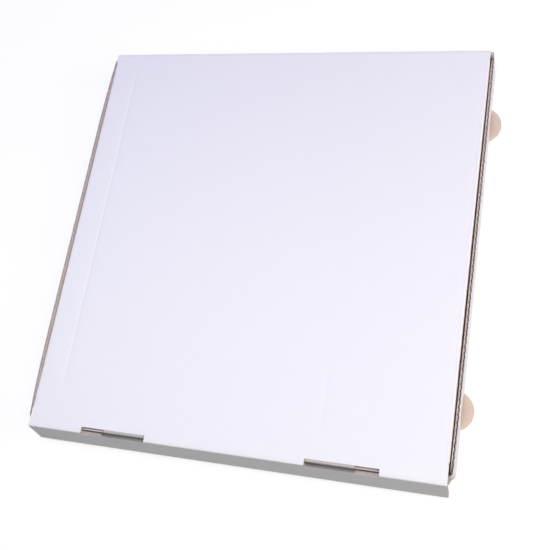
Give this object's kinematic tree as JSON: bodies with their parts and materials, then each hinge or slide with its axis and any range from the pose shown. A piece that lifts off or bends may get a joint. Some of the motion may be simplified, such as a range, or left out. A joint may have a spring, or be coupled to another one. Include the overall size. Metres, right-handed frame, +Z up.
{
  "type": "pizza box",
  "caption": "Shallow closed pizza box of folded corrugated board, with a hinged lid, a loose front flap and half-round ears at the foot of its side walls.",
  "frame": {"origin": "centre of the base's underside, on the surface that the box stands on", "axes": "+X to the right across the box, +Y towards the lid's hinge at the back, +Z up"},
  "size_m": [0.4206, 0.4112, 0.0333],
  "materials": {
    "white_board": "matt white liner outside, brown kraft liner inside, raw fluted edges"
  },
  "bodies": {
    "tray": {"tray": "white_board"},
    "lid": {"lid": "white_board"},
    "front_flap": {"front_flap": "white_board"}
  },
  "joints": [
    {"name": "lid_hinge", "type": "hinge", "parent": "tray", "child": "lid", "pos_m": [0, 0.2, 0.0333], "axis": [-1, 0, 0], "range_deg": [0, 178]},
    {"name": "front_flap_hinge", "type": "hinge", "parent": "lid", "child": "front_flap", "pos_m": [0, -0.204, 0.0333], "axis": [-1, 0, 0], "range_deg": [-15, 75]}
  ]
}
